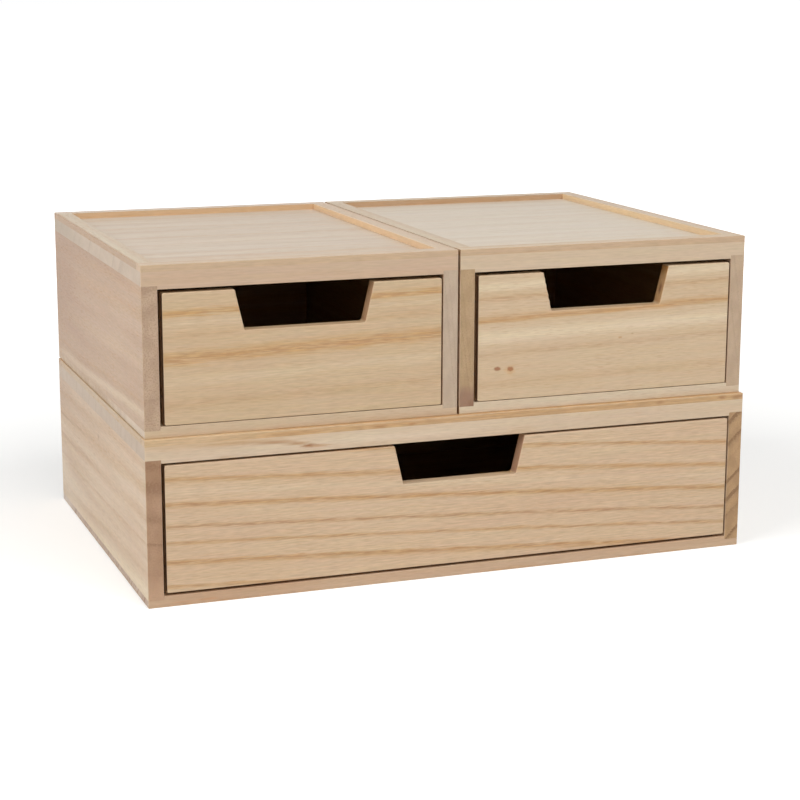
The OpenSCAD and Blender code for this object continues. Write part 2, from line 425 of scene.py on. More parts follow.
@dataclass
class WoodShader:
    """Builds the material of one board.

    Attributes:
        name: the material's name.
        finish: how the wood looks.
        grain: how the board lies.
        corner: the board's low corner, in metres.
        length: the board's length along the grain.
        breadth: the board's breadth across the grain.
        bench: the material's nodes.
        place: millimetres along, across and through the board, from its low corner.
    """

    name: str
    finish: WoodFinish
    grain: Grain
    corner: Vector
    length: float
    breadth: float
    bench: NodeBench = field(init=False)
    place: NodeSocket = field(init=False)

    # The surface: roughness between the pores and in them, and how fibres, pores and lines lift it.
    ROUGHNESS = (0.45, 0.7)
    SPECULAR = 0.65
    BUMP = 0.5
    RELIEF = 0.12
    LIFTS = (0.5, -0.6, -0.3)
    # Room beside the board in the ramp of placed rings, and the power that sharpens growth lines.
    MARGIN = 30.0
    SHARPNESS = 3.0
    # How often the spacing of regular rings sways, how much, and how far apart the sways of two boards
    # start for each metre between their corners. Then the strength of the weakest ring.
    SWAY_PACE = 0.45
    SWAY = 1.6
    SWAY_START = 100
    WEAKEST = 0.2
    # Factor and offset by which streaks break golden bands, and dashes break tinted lines.
    STREAKED = (2.6, -0.3)
    DASHED = (0.8, 0.2)
    # Shares of long and short fibres, and of pores in golden bands, in crowds and anywhere.
    FIBRES = (0.45, 0.55)
    CROWDING = (0.6, 0.35, 0.25)
    # Strength of the cloud in end grain, and how far and how finely the rims of marks fray out.
    CLOUDED = 0.35
    FRAYED = 0.9
    FRAY_SIZE = 0.7
    # The painted highlight on rounded edges: its pale colour, and its share.
    EDGE_HIGHLIGHT = ("dcc6a6", 0.12)
    # Where the smooth step of each noise starts and ends.
    SOFT_STEP = (0.35, 0.65)
    DASH_STEP = (0.38, 0.6)
    CELL_STEP = (0.42, 0.68)
    PORE_STEP = (0.5, 0.72)
    RING_STEP = (0.02, 0.45)
    END_STEP = (0.6, 0.85)
    NONE = (0.0, 0.0, 0.0, 0.0)

    def build(self) -> Material:
        """Builds the material.

        Returns:
            The board's material.
        """
        self.bench = bench = NodeBench(bpy.data.materials.new(self.name))
        texture = bench.node("TexCoord")
        self.place = self._place(texture.outputs["Object"])
        figure = self._figure()
        end_grain = self._marked(self._end_grain(figure), self.finish.end_marks)
        across = bench.node("SeparateXYZ", texture.outputs["Normal"]).outputs[self.grain.value[0]]
        end_share = bench.rise(bench.math("ABSOLUTE", across), *self.END_STEP)
        colour = bench.mix(end_share, self._long_grain(figure), end_grain)
        colour = self._varied(self._marked(colour, self.finish.marks), figure)
        # Painted highlight: the rounded faces are mixed towards a pale colour.
        highlit_edges = bench.node("Attribute", attribute_name=EASED)
        pale, share = self.EDGE_HIGHLIGHT
        colour = bench.mix(bench.math("MULTIPLY", highlit_edges.outputs["Fac"], share), colour, tone(pale))
        return self._surface(colour, figure)

    def _place(self, position: NodeSocket) -> NodeSocket:
        """Turns a position into millimetres along, across and through the board.

        Args:
            position: the Object coordinates.

        Returns:
            The three distances from the board's low corner.
        """
        moved = self.bench.vector("SUBTRACT", position, tuple(self.corner))
        parts = self.bench.node("SeparateXYZ", self.bench.vector("DIVIDE", moved, (MM, MM, MM))).outputs
        return self.bench.node("CombineXYZ", *(parts[axis] for axis in self.grain.value)).outputs[0]

    def _noise(self, fineness: Fineness, detail: float = 2.0, hue: bool = False) -> NodeSocket:
        """Noise that runs along the board's grain."""
        return self.bench.noise(self.place, fineness.value, detail, hue)

    def _figure(self) -> Figure:
        """Finds the growth rings, the pores and the fibres.

        Returns:
            The board's pattern.
        """
        bench = self.bench
        height = self._height()
        sharp, gold, plum, pale = self._placed(height) if self.finish.rings else self._regular(height)
        dashes = bench.rise(self._noise(Fineness.DASHES), *self.DASH_STEP)
        streaks = self._noise(Fineness.STREAKS, 3.0)
        line = bench.math("MULTIPLY", bench.math("POWER", sharp, self.SHARPNESS), dashes)
        gold = bench.math("MULTIPLY", gold, bench.scaled(streaks, *self.STREAKED))
        plum = bench.math("MULTIPLY", plum, bench.scaled(dashes, *self.DASHED))
        fibres = self._noise(Fineness.LONG_FIBRES, 3.0), self._noise(Fineness.SHORT_FIBRES)
        fibre = bench.total(*zip(fibres, self.FIBRES))
        return Figure(line, gold, plum, pale, self._pores(gold), fibre)

    def _height(self) -> NodeSocket:
        """Finds how high a place lies across the growth rings.

        Returns:
            The height in millimetres.
        """
        bench, finish = self.bench, self.finish
        along, across, through = bench.node("SeparateXYZ", self.place).outputs
        from_middle = bench.scaled(along, 2 / self.length, -1.0)
        height = bench.total(
            (across, finish.climb),
            (along, finish.slope),
            (through, finish.tilt),
            (bench.math("MULTIPLY", from_middle, from_middle), finish.bow),
            (self._noise(Fineness.WANDER, 1.0), 2 * finish.waver),
            (self._noise(Fineness.RIPPLES, 1.0), finish.waver),
            (self._noise(Fineness.FRINGE), finish.fray),
        )
        mean_noise = 0.5 * (3 * finish.waver + finish.fray)
        return bench.math("SUBTRACT", height, mean_noise)

    def _placed(self, height: NodeSocket) -> list[NodeSocket]:
        """Looks up the rings that are listed one by one.

        Args:
            height: distance across the rings.

        Returns:
            The strengths of the unsharpened line, the golden band, the tint and the cream band.
        """
        span = self.breadth + 2 * self.MARGIN
        stops = []
        for ring in sorted(self.finish.rings, key=lambda r: r.at):
            full = (ring.dark ** (1 / self.SHARPNESS), ring.gold, ring.plum, ring.pale)
            spread = ((-ring.under, self.NONE), (0.0, full), (ring.over, self.NONE))
            stops += [((ring.at + step + self.MARGIN) / span, numbers) for step, numbers in spread]
        return self.bench.ramp(self.bench.scaled(height, 1 / span, self.MARGIN / span), stops)

    def _regular(self, height: NodeSocket) -> list[NodeSocket]:
        """Spreads rings over the board by themselves, each with its own strength.

        Args:
            height: distance across the rings.

        Returns:
            The strengths of the unsharpened line, the golden band, the tint and the cream band.
        """
        bench, finish = self.bench, self.finish
        turns = bench.math("DIVIDE", height, finish.spacing)
        sway = bench.node("TexNoise", noise_dimensions="1D")
        start = self.corner.length * self.SWAY_START
        bench.feed(sway.inputs["W"], bench.scaled(turns, self.SWAY_PACE, start))
        bench.feed(sway.inputs["Scale"], 1.0)
        turns = bench.scaled(sway.outputs[0], self.SWAY, turns)
        chance = bench.node("TexWhiteNoise", noise_dimensions="1D")
        bench.feed(chance.inputs["W"], bench.math("FLOOR", turns))
        own = bench.scaled(chance.outputs[0], 1 - self.WEAKEST, self.WEAKEST)
        stops = [
            (0.0, self.NONE),
            (0.25, (0.0, 0.0, 0.0, 0.5 * finish.golden)),
            (0.55, (0.0, 0.2 * finish.golden, 0.0, 0.0)),
            (0.85, (finish.dark ** (1 / self.SHARPNESS), finish.golden, 0.0, 0.0)),
            (1.0, self.NONE),
        ]
        found = bench.ramp(bench.math("FRACT", turns), stops)
        return [bench.math("MULTIPLY", strength, own) for strength in found]

    def _pores(self, gold: NodeSocket) -> NodeSocket:
        """Finds the fine open pores, which are short dashes along the grain and crowd in the golden bands.

        Args:
            gold: strength of the golden bands.

        Returns:
            The pores' strength.
        """
        bench = self.bench
        in_gold, in_crowds, anywhere = self.CROWDING
        dashes = bench.rise(self._noise(Fineness.PORES, 1.0), *self.PORE_STEP)
        crowd = bench.rise(self._noise(Fineness.CROWDS, 1.0), *self.SOFT_STEP, in_crowds)
        return bench.math("MULTIPLY", dashes, bench.total((gold, in_gold), (crowd, 1.0), (anywhere, 1.0)))

    def _long_grain(self, figure: Figure) -> NodeSocket:
        """Colours the faces along the grain.

        Args:
            figure: the board's pattern.

        Returns:
            The colour.
        """
        bench, finish = self.bench, self.finish
        broad = bench.rise(self._noise(Fineness.BANDS), *self.SOFT_STEP, finish.banding)
        colour = bench.mix(broad, tone(finish.body), tone(finish.shade))
        pores = bench.math("MULTIPLY", figure.pores, finish.pores)
        layers = (
            (figure.pale, finish.pale), (figure.gold, finish.gold), (figure.line, finish.line),
            (figure.plum, finish.plum), (pores, finish.pore),
        )
        for share, code in layers:
            colour = bench.mix(share, colour, tone(code))
        return colour

    def _varied(self, colour: NodeSocket, figure: Figure) -> NodeSocket:
        """Varies a colour with soft changes of hue, and with light and dark fibres.

        Args:
            colour: the colour so far.
            figure: the board's pattern.

        Returns:
            The new colour.
        """
        bench, finish = self.bench, self.finish
        neutral = tuple(1 - 0.5 * part for part in finish.tint)
        hue = bench.vector("MULTIPLY_ADD", self._noise(Fineness.HUES, 3.0, hue=True), finish.tint, neutral)
        bright = bench.scaled(figure.fibre, 2 * finish.fibre, 1 - finish.fibre)
        grey = bench.node("CombineColor", bright, bright, bright).outputs[0]
        return bench.mix(1.0, bench.mix(1.0, colour, hue, "MULTIPLY"), grey, "MULTIPLY")

    def _end_grain(self, figure: Figure) -> NodeSocket:
        """Colours the ends of the board.

        Args:
            figure: the board's pattern.

        Returns:
            The colour.
        """
        bench, finish = self.bench, self.finish
        band = bench.math("MAXIMUM", figure.line, figure.gold)
        rings = bench.rise(band, *self.RING_STEP, finish.end_rings)
        cloud = bench.rise(self._noise(Fineness.CLOUDS), *self.SOFT_STEP, self.CLOUDED)
        cells = bench.rise(self._noise(Fineness.CELLS), *self.CELL_STEP, finish.speckle)
        colour: Feed = tone(finish.end)
        for share in (bench.math("MINIMUM", rings, 1.0), cloud, cells):
            colour = bench.mix(share, colour, tone(finish.end_line))
        return colour

    def _marked(self, colour: NodeSocket, marks: tuple[Mark, ...]) -> NodeSocket:
        """Lays knots, stains and patches of painted shade and highlight over a colour.

        Args:
            colour: the colour so far.
            marks: the knots, stains and painted patches.

        Returns:
            The new colour.
        """
        bench = self.bench
        for mark in marks:
            offset = bench.vector("SUBTRACT", self.place, mark.centre)
            size = bench.length(bench.vector("DIVIDE", offset, mark.radii))
            fringe = bench.noise(self.place, tuple(self.FRAY_SIZE * radius for radius in mark.radii))
            rough = bench.scaled(fringe, self.FRAYED * mark.soft, size)
            rim = 1.0 + self.FRAYED / 2 * mark.soft
            share = bench.rise(rough, rim, rim - mark.soft, mark.strength)
            colour = bench.mix(share, colour, tone(mark.colour))
        return colour

    def _surface(self, colour: NodeSocket, figure: Figure) -> Material:
        """Ends the material: matt wood with open pores and a fine relief.

        Args:
            colour: the finished colour.
            figure: the board's pattern.

        Returns:
            The material.
        """
        bench = self.bench
        shader = bench.node("BsdfPrincipled")
        shader.inputs["Specular IOR Level"].default_value = self.SPECULAR
        low, high = self.ROUGHNESS
        relief = bench.node("Bump")
        relief.inputs["Strength"].default_value = self.BUMP
        relief.inputs["Distance"].default_value = self.RELIEF * MM
        height = bench.total(*zip((figure.fibre, figure.pores, figure.line), self.LIFTS))
        bench.feed(relief.inputs["Height"], height)
        bench.feed(shader.inputs["Base Color"], colour)
        bench.feed(shader.inputs["Roughness"], bench.scaled(figure.pores, high - low, low))
        bench.feed(shader.inputs["Normal"], relief.outputs[0])
        return bench.close(shader)


@dataclass(frozen=True)
class SteelFinish:
    """Bright drawn steel wire, as on a brad.

    Attributes:
        colour: colour of the metal.
        scuffed: colour where the hammer has touched it.
        roughness: how matt it is.
        scuff_size: size of the scuffs, in millimetres.
        scuff_step: between which values of the noise they grow.
        scuff_roughness: how much more matt they are.
    """

    colour: str = "bdbcb7"
    scuffed: str = "8f8d88"
    roughness: float = 0.34
    scuff_size: float = 0.5
    scuff_step: tuple[float, float] = (0.45, 0.7)
    scuff_roughness: float = 0.25

    def material(self) -> Material:
        """Builds the material.

        Returns:
            The steel material.
        """
        bench = NodeBench(bpy.data.materials.new("brad_steel"))
        place = bench.vector("DIVIDE", bench.node("TexCoord").outputs["Object"], (MM, MM, MM))
        scuffs = bench.rise(bench.noise(place, (self.scuff_size,) * 3, 3.0), *self.scuff_step)
        shader = bench.node("BsdfPrincipled")
        shader.inputs["Metallic"].default_value = 1.0
        bench.feed(shader.inputs["Base Color"], bench.mix(scuffs, tone(self.colour), tone(self.scuffed)))
        matt = bench.scaled(scuffs, self.scuff_roughness, self.roughness)
        bench.feed(shader.inputs["Roughness"], matt)
        return bench.close(shader)


# ---- Shapes ----


class Workpiece:
    """A piece of wood on the bench, kept as a bmesh until it is mounted."""

    FLAT = 0.01
    TURNING_STEPS = 24

    def __init__(self) -> None:
        """Starts an empty piece."""
        self.bm = bmesh.new()
        self.eased = self.bm.faces.layers.float.new(EASED)

    @classmethod
    def block(cls, low: Vector, high: Vector) -> "Workpiece":
        """Cuts a square block.

        Args:
            low: its lowest corner.
            high: its highest corner.

        Returns:
            The block.
        """
        piece = cls()
        made = bmesh.ops.create_cube(piece.bm, size=1.0)
        bmesh.ops.scale(piece.bm, vec=high - low, verts=made["verts"])
        bmesh.ops.translate(piece.bm, vec=(low + high) / 2, verts=made["verts"])
        return piece

    @classmethod
    def moulding(cls, section: list[Vector], run: Vector) -> "Workpiece":
        """Runs a cross-section along a line.

        Args:
            section: corners of the cross-section.
            run: the way it runs, and how far.

        Returns:
            The moulding.
        """
        piece = cls()
        face = piece.bm.faces.new([piece.bm.verts.new(corner) for corner in section])
        piece.stretch([face], run)
        bmesh.ops.recalc_face_normals(piece.bm, faces=piece.bm.faces[:])
        return piece

    @classmethod
    def turning(cls, outline: list[Vector], axis: Vector) -> "Workpiece":
        """Turns an outline round an axis through the first corner.

        Args:
            outline: corners of the half section, the first and the last on the axis.
            axis: direction of the axis.

        Returns:
            The turned piece.
        """
        piece = cls()
        corners = [piece.bm.verts.new(corner) for corner in outline]
        edges = [piece.bm.edges.new(pair) for pair in zip(corners, corners[1:])]
        bmesh.ops.spin(
            piece.bm, geom=corners + edges, cent=outline[0], axis=axis, angle=math.tau,
            steps=cls.TURNING_STEPS, use_merge=True,
        )
        bmesh.ops.remove_doubles(piece.bm, verts=piece.bm.verts[:], dist=TOUCH)
        bmesh.ops.recalc_face_normals(piece.bm, faces=piece.bm.faces[:])
        return piece

    def stretch(self, faces: list, run: Vector) -> None:
        """Pulls faces out of the piece.

        Args:
            faces: the faces to pull.
            run: the way they go, and how far.
        """
        made = bmesh.ops.extrude_face_region(self.bm, geom=faces)
        moved = [part for part in made["geom"] if isinstance(part, BMVert)]
        bmesh.ops.translate(self.bm, vec=run, verts=moved)

    def saw(self, at: Vector, across: Vector) -> None:
        """Splits the faces along a plane through a point, and keeps both sides."""
        geometry = self.bm.verts[:] + self.bm.edges[:] + self.bm.faces[:]
        bmesh.ops.bisect_plane(self.bm, geom=geometry, dist=TOUCH, plane_co=at, plane_no=across)

    def clean(self) -> None:
        """Joins neighbouring faces that lie in one plane."""
        verts, edges = self.bm.verts[:], self.bm.edges[:]
        bmesh.ops.dissolve_limit(self.bm, angle_limit=self.FLAT, verts=verts, edges=edges)

    def ease(self, test: EdgeTest, width: float, segments: int) -> None:
        """Rounds over some edges and remembers the new faces, which get a painted highlight.

        Args:
            test: picks the edges.
            width: how far the rounding reaches from the edge, in millimetres.
            segments: how many faces make the rounding.
        """
        edges = [edge for edge in self.bm.edges if test(edge)]
        made = bmesh.ops.bevel(
            self.bm, geom=edges, offset=width * MM, offset_type="OFFSET", segments=segments, profile=0.5,
            affect="EDGES", material=-1, clamp_overlap=True,
        )
        for face in made["faces"]:
            face[self.eased] = 1.0

    def join(self, other: "Workpiece") -> "Workpiece":
        """Adds another piece to this one, as a separate shell.

        Args:
            other: the piece to add.

        Returns:
            This piece.
        """
        mesh = bpy.data.meshes.new("joined")
        other.bm.to_mesh(mesh)
        self.bm.from_mesh(mesh)
        bpy.data.meshes.remove(mesh)
        return self

    def mirrored(self, middle: float) -> "Workpiece":
        """Copies the piece to the other side of a unit.

        Args:
            middle: x of the mirror plane.

        Returns:
            The mirrored copy.
        """
        copy = Workpiece().join(self)
        turn = Matrix.Translation((2 * middle, 0, 0)) @ Matrix.Scale(-1, 4, (1, 0, 0))
        bmesh.ops.transform(copy.bm, matrix=turn, verts=copy.bm.verts[:])
        bmesh.ops.recalc_face_normals(copy.bm, faces=copy.bm.faces[:])
        return copy

    def finished(self, name: str) -> Object:
        """Turns the piece into an object at the origin.

        Args:
            name: the object's name.

        Returns:
            The object.
        """
        mesh = bpy.data.meshes.new(name)
        self.bm.to_mesh(mesh)
        made = bpy.data.objects.new(name, mesh)
        bpy.context.scene.collection.objects.link(made)
        return made


def carve(blank: Object, cutter: Object) -> None:
    """Cuts one object's shape out of another, and removes the cutter.

    Args:
        blank: the object that is cut.
        cutter: the shape to take away.
    """
    cut = blank.modifiers.new("cut", "BOOLEAN")
    cut.operation = "DIFFERENCE"
    cut.solver = "EXACT"
    cut.object = cutter
    bpy.context.view_layer.update()
    shaped = blank.evaluated_get(bpy.context.evaluated_depsgraph_get())
    mesh = bpy.data.meshes.new_from_object(shaped)
    blank.modifiers.clear()
    old = blank.data
    blank.data = mesh
    bpy.data.meshes.remove(old)
    mesh.name = blank.name
    bpy.data.objects.remove(cutter)


@dataclass(frozen=True)
class Bounds:
    """The box that a board or a unit fills.

    Attributes:
        low: its lowest corner.
        high: its highest corner.
    """

    low: Vector
    high: Vector

    @classmethod
    def of(cls, *nodes: str) -> "Bounds":
        """Reads the box of one or more CAD nodes.

        Args:
            nodes: the nodes' names.

        Returns:
            The box round all of them.
        """
        corners = [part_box(node) for node in nodes]
        low = Vector(min(box[0][axis] for box in corners) for axis in range(3))
        high = Vector(max(box[1][axis] for box in corners) for axis in range(3))
        return cls(low, high)

    def on_edge(self, edge: BMEdge) -> bool:
        """Tells whether an edge lies along an edge of this box.

        Args:
            edge: the edge.

        Returns:
            True if it lies on two of the box's faces.
        """
        faces = 0
        for axis in range(3):
            for side in (self.low[axis], self.high[axis]):
                faces += all(abs(vert.co[axis] - side) < TOUCH for vert in edge.verts)
        return faces >= 2


def lies_at(edge: BMEdge, **places: float) -> bool:
    """Tells whether both ends of an edge have the given x, y or z."""
    spots = [(getattr(vert.co, axis), at) for vert in edge.verts for axis, at in places.items()]
    return all(abs(spot - at) < TOUCH for spot, at in spots)


def fix(piece: Object, node: str, body: str) -> None:
    """Fixes a finished piece in the frame.

    Args:
        piece: the piece.
        node: the CAD node that it replaces.
        body: the CAD body that it rides on.
    """
    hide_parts(node)
    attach(piece, body)
    LOG.info("made %s with %d faces", piece.name, len(piece.data.polygons))


# ---- Sub-assemblies ----


@dataclass
class Assembly:
    """Boards of one unit that are fixed together and move as one body.

    Attributes:
        unit: the unit's name.
        woods: finishes by the board's name in the unit, and the one for the other boards.
    """

    unit: str
    woods: dict[str, WoodFinish]

    BODY = "unit"
    OTHERS = "plain"

    def box(self, *parts: str) -> Bounds:
        """The box of one or more of the unit's nodes."""
        return Bounds.of(*(f"{self.unit}_{part}" for part in parts))

    def mount(
        self, part: str, slot: str, grain: Grain, piece: Workpiece, cutter: Workpiece | None = None,
    ) -> None:
        """Makes a board's object, finishes its wood and fixes it to the assembly's body.

        Args:
            part: the board's name in the unit.
            slot: the record's material slot; not used.
            grain: how the board lies.
            piece: its shape.
            cutter: grooves and holes to cut in it.
        """
        node = f"{self.unit}_{part}"
        made = piece.finished(f"{node}_wood")
        if cutter is not None:
            carve(made, cutter.finished("cutter"))
        place = self.box(part)
        size = (place.high - place.low) / MM
        length, breadth = (size[axis] for axis in grain.value[:2])
        finish = self.woods.get(part, self.woods[self.OTHERS])
        shader = WoodShader(f"{node}_finish", finish, grain, place.low, length, breadth)
        made.data.materials.clear()
        made.data.materials.append(shader.build())
        fix(made, node, f"{self.unit}_{self.BODY}")

    def plank(
        self, part: str, slot: str, grain: Grain, *easings: Easing, cutter: Workpiece | None = None,
    ) -> None:
        """Builds a board that is a plain block with rounded edges.

        Args:
            part: the board's name in the unit.
            slot: the record's material slot.
            grain: how the board lies.
            easings: the roundings of its edges.
            cutter: grooves and holes to cut in it.
        """
        box = self.box(part)
        piece = Workpiece.block(box.low, box.high)
        for easing in easings:
            piece.ease(*easing)
        self.mount(part, slot, grain, piece, cutter)


@dataclass
class Carcass(Assembly):
    """The glued case of one unit: top and bottom boards, two sides, a back, and the tray's rim.

    Attributes:
        outer_round: rounding of the unit's outer edges.
        mouth_round: rounding of the edges round the drawer's opening.
    """

    outer_round: float = 0.3
    mouth_round: float = 0.2

    def build(self) -> None:
        """Builds the case and the rim of its tray."""
        self.housed_board("bottom_board", "carcass_wood", outer_is_low=True)
        self.housed_board("top_board", "tray_wood", outer_is_low=False)
        self.side("left_side")
        self.side("right_side")
        easing = (self.box("back_board").on_edge, self.mouth_round, 2)
        self.plank("back_board", "carcass_wood", Grain.WIDE_UPRIGHT, easing)
        for part in ("rim_front", "rim_back", "rim_left", "rim_right"):
            self.rim(part)

    def outside(self) -> Easing:
        """The rounding of the unit's outer edges."""
        return self.box("bottom_board", "rim_front", "rim_back").on_edge, self.outer_round, 3

    def housed_board(self, part: str, slot: str, outer_is_low: bool) -> None:
        """Builds the top or the bottom board, with rabbets that the sides stand in.

        Args:
            part: the board's name in the unit.
            slot: the record's material slot.
            outer_is_low: True if its plain face is the lower one.
        """
        board, left, right = self.box(part), self.box("left_side"), self.box("right_side")
        outer, inner = (board.low.z, board.high.z) if outer_is_low else (board.high.z, board.low.z)
        shoulder = left.low.z if outer_is_low else left.high.z
        start, end = board.low.x, board.high.x
        corners = [
            (start, outer), (end, outer), (end, shoulder), (right.low.x, shoulder),
            (right.low.x, inner), (left.high.x, inner), (left.high.x, shoulder), (start, shoulder),
        ]
        section = [Vector((x, board.low.y, z)) for x, z in corners]
        piece = Workpiece.moulding(section, Vector((0, board.high.y - board.low.y, 0)))
        piece.ease(*self.outside())
        piece.ease(lambda e: lies_at(e, y=board.low.y, z=inner), self.mouth_round, 2)
        self.mount(part, slot, Grain.WIDE_FLAT, piece)

    def side(self, part: str) -> None:
        """Builds a side board.

        Args:
            part: the board's name in the unit.
        """
        board = self.box(part)
        inner = board.high.x if part == "left_side" else board.low.x
        mouth = (lambda e: lies_at(e, x=inner, y=board.low.y), self.mouth_round, 2)
        self.plank(part, "side_wood", Grain.DEEP_UPRIGHT, self.outside(), mouth)

    def rim(self, part: str) -> None:
        """Builds one strip of the rim, with the upper edge that faces the tray sanded.

        Args:
            part: the strip's name in the unit.
        """
        low, high = self.box(part).low, self.box(part).high
        axis, inner, grain = {
            "rim_front": ("y", high.y, Grain.WIDE_FLAT),
            "rim_back": ("y", low.y, Grain.WIDE_FLAT),
            "rim_left": ("x", high.x, Grain.DEEP_FLAT),
            "rim_right": ("x", low.x, Grain.DEEP_FLAT),
        }[part]
        sanded = (lambda e: lies_at(e, z=high.z, **{axis: inner}), 2 * self.mouth_round, 3)
        self.plank(part, "rim_wood", grain, self.outside(), sanded)


@dataclass(frozen=True)
class FingerCutout:
    """The notch in the top edge of a drawer front.

    Attributes:
        top_width: width at the top edge.
        bottom_width: width along its bottom.
        depth: depth under the top edge.
        left_corner: rounding of its left bottom corner.
        right_corner: rounding of its right bottom corner.
        torn: how far the saw has torn its left end.
        teeth: how many torn places there are.
    """

    top_width: float = 72.0
    bottom_width: float = 62.5
    depth: float = 20.3
    left_corner: float = 1.5
    right_corner: float = 1.5
    torn: float = 0.0
    teeth: int = 12

    SEED = 7

    def outline(self, middle: float, top: float) -> list[tuple[float, float]]:
        """Corners of the notch from its right upper one to its left upper one.

        Args:
            middle: x of the notch's middle, in metres.
            top: z of the front's top edge, in metres.

        Returns:
            Points in x and z, in metres.
        """
        bottom = top - self.depth * MM
        low, high = self.bottom_width / 2 * MM, self.top_width / 2 * MM
        chance = random.Random(self.SEED)
        torn_end = []
        for tooth in range(1, self.teeth if self.torn else 0):
            share = tooth / self.teeth
            bite = chance.uniform(-1, 1) * self.torn * MM
            torn_end.append((middle - low - (high - low) * share + bite, bottom + (top - bottom) * share))
        right_end = [(middle + high, top), (middle + low, bottom)]
        return [*right_end, (middle - low, bottom), *torn_end, (middle - high, top)]

    def corner_reach(self) -> float:
        """How far a bottom corner's rounding reaches along the notch, for a radius of 1."""
        slant = math.atan2((self.top_width - self.bottom_width) / 2, self.depth)
        return math.tan((math.pi / 2 - slant) / 2)


@dataclass
class Drawer(Assembly):
    """One drawer: a front with a lip, two sides, a back, a bottom in grooves, and eight brads.

    Attributes:
        cutout: the notch in its front.
        corner_round: rounding of the front's four corners, seen from the front.
        face_round: rounding of the front's outer edges.
        arris: rounding of the other edges.
        brad_shank: diameter of a brad's shank.
        brad_head: diameter of its head.
        brad_head_height: height of its head.
        brad_rim: how far the head's face is rounded in from its rim.
        brad_dome: how deep the face's flat middle, its shoulder and its rim lie.
        brad_point: length of its point.
        brad_length: its length.
        brad_play: room round a brad in its hole.
        groove_play: room above the bottom in its groove.
    """

    cutout: FingerCutout
    corner_round: float = 1.0
    face_round: float = 0.4
    arris: float = 0.3
    brad_shank: float = 1.2
    brad_head: float = 2.0
    brad_head_height: float = 0.6
    brad_rim: float = 0.15
    brad_dome: tuple[float, float, float] = (0.05, 0.1, 0.2)
    brad_point: float = 2.0
    brad_length: float = 18.0
    brad_play: float = 0.02
    groove_play: float = 0.2

    BODY = "drawer"
    OTHERS = "box"
    SLOT = "drawer_box_wood"
    # The flat part of a brad's face, as a share of its radius, and how far its hole runs out of the wood.
    FLAT_SHARE = 0.6
    RUN_OUT = 1.0

    def build(self) -> None:
        """Builds the drawer's pieces."""
        self.front()
        for part in ("drawer_left_side", "drawer_right_side"):
            easing = (self.box(part).on_edge, self.arris, 2)
            self.plank(part, self.SLOT, Grain.DEEP_UPRIGHT, easing, cutter=self.joinery())
        low, high = self.box("drawer_back").low.z, self.box("drawer_back").high.z
        easing = (lambda e: lies_at(e, z=high) or lies_at(e, z=low), self.arris, 2)
        self.plank("drawer_back", self.SLOT, Grain.WIDE_UPRIGHT, easing, cutter=self.joinery())
        easing = (self.box("drawer_bottom").on_edge, self.arris, 1)
        self.plank("drawer_bottom", self.SLOT, Grain.WIDE_FLAT, easing)
        node = f"{self.unit}_drawer_brads"
        brads = self.brad_row(0.0).finished(f"{node}_steel")
        brads.data.materials.append(SteelFinish().material())
        fix(brads, node, f"{self.unit}_{self.BODY}")

    def front(self) -> None:
        """Builds the front: a lip over the ends of the sides, a tongue between them, and the notch."""
        front, left, right = (self.box(f"drawer_{part}") for part in ("front", "left_side", "right_side"))
        low, high = front.low, front.high
        notch = self.cutout.outline((low.x + high.x) / 2, high.z)
        corners = [(low.x, high.z), (low.x, low.z), (high.x, low.z), (high.x, high.z), *notch]
        section = [Vector((x, low.y, z)) for x, z in corners]
        piece = Workpiece.moulding(section, Vector((0, left.low.y - low.y, 0)))
        for side in (left.high.x, right.low.x):
            piece.saw(Vector((side, 0, 0)), Vector((1, 0, 0)))
        middles = ((face, face.calc_center_median()) for face in piece.bm.faces)
        rear = [
            face for face, middle in middles
            if abs(middle.y - left.low.y) < TOUCH and left.high.x < middle.x < right.low.x
        ]
        piece.stretch(rear, Vector((0, high.y - left.low.y, 0)))
        piece.clean()
        self.ease_front(piece, front, notch)
        self.mount("drawer_front", "front_wood", Grain.WIDE_UPRIGHT, piece, self.joinery())

    def ease_front(self, piece: Workpiece, front: Bounds, notch: list[tuple[float, float]]) -> None:
        """Rounds the edges of the front: the notch's corners first, then the outer edges and the notch's.

        Args:
            piece: the front.
            front: its box.
            notch: the notch's outline in x and z.
        """
        reach = self.cutout.corner_reach()
        low, high = front.low, front.high
        corners = [
            (notch[1], reach * self.cutout.right_corner, 5),
            (notch[2], reach * self.cutout.left_corner, 5),
            *((end, 2 * self.arris, 3) for end in (notch[0], notch[-1])),
            *(((x, z), self.corner_round, 4) for x in (low.x, high.x) for z in (low.z, high.z)),
        ]
        for (x, z), width, segments in corners:
            piece.ease(lambda e, x=x, z=z: lies_at(e, x=x, z=z), width, segments)
        piece.ease(lambda e: lies_at(e, y=low.y), self.face_round, 3)
        piece.ease(lambda e: lies_at(e, y=high.y), self.arris, 2)

    def joinery(self) -> Workpiece:
        """Makes the cutter for the drawer bottom's grooves and the brads' holes.

        Returns:
            The cutter.
        """
        bottom = self.box("drawer_bottom")
        play = self.groove_play * MM
        room = Vector((play, play, 0))
        groove = Workpiece.block(bottom.low - room, bottom.high + room + Vector((0, 0, play)))
        return groove.join(self.brad_row(self.brad_play))

    def brad_row(self, play: float) -> Workpiece:
        """Makes the eight brads that hold the sides to the front and the back, or their holes.

        Args:
            play: how much wider and deeper than a brad, for a hole.

        Returns:
            The brads or holes.
        """
        box = self.box("drawer_brads")
        radius = self.brad_head / 2 * MM
        row = Workpiece()
        for y in (box.low.y + radius, box.high.y - radius):
            for z in (box.low.z + radius, box.high.z - radius):
                row.join(self.brad(Vector((box.low.x, y, z)), play))
        return row.join(row.mirrored((box.low.x + box.high.x) / 2))

